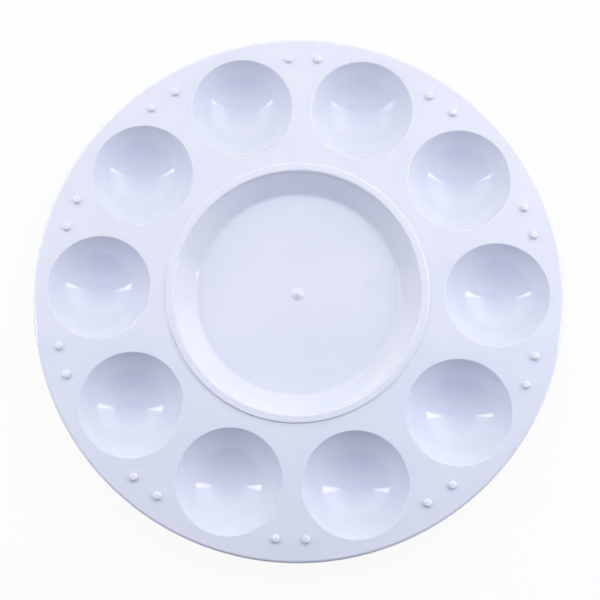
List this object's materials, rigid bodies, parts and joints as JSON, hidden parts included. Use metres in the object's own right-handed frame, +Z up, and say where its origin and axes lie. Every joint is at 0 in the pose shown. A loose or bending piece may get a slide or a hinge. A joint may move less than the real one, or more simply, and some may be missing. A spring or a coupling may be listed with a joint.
{
  "type": "mixing palette",
  "caption": "Round white plastic paint palette with a ring of bowl-shaped wells around a shallow mixing dish, small deck pips and a turned-down rim.",
  "frame": {"origin": "centre of the plane that the wells' flat feet stand on, on the palette's axis", "axes": "+Z up out of the deck; +X through the middle of paint_well_01; wells are numbered anticlockwise seen from above"},
  "size_m": [0.1702, 0.1702, 0.0141],
  "materials": {
    "white_plastic": "glossy white moulded plastic with a faint cool lilac cast"
  },
  "bodies": {
    "root": {"deck_plate": "white_plastic", "outer_rim": "white_plastic", "mixing_dish_ring": "white_plastic", "mixing_dish": "white_plastic", "gate_pip": "white_plastic", "deck_pips": "white_plastic", "paint_well_01": "white_plastic", "paint_well_02": "white_plastic", "paint_well_03": "white_plastic", "paint_well_04": "white_plastic", "paint_well_05": "white_plastic", "paint_well_06": "white_plastic", "paint_well_07": "white_plastic", "paint_well_08": "white_plastic", "paint_well_09": "white_plastic", "paint_well_10": "white_plastic"}
  },
  "joints": []
}
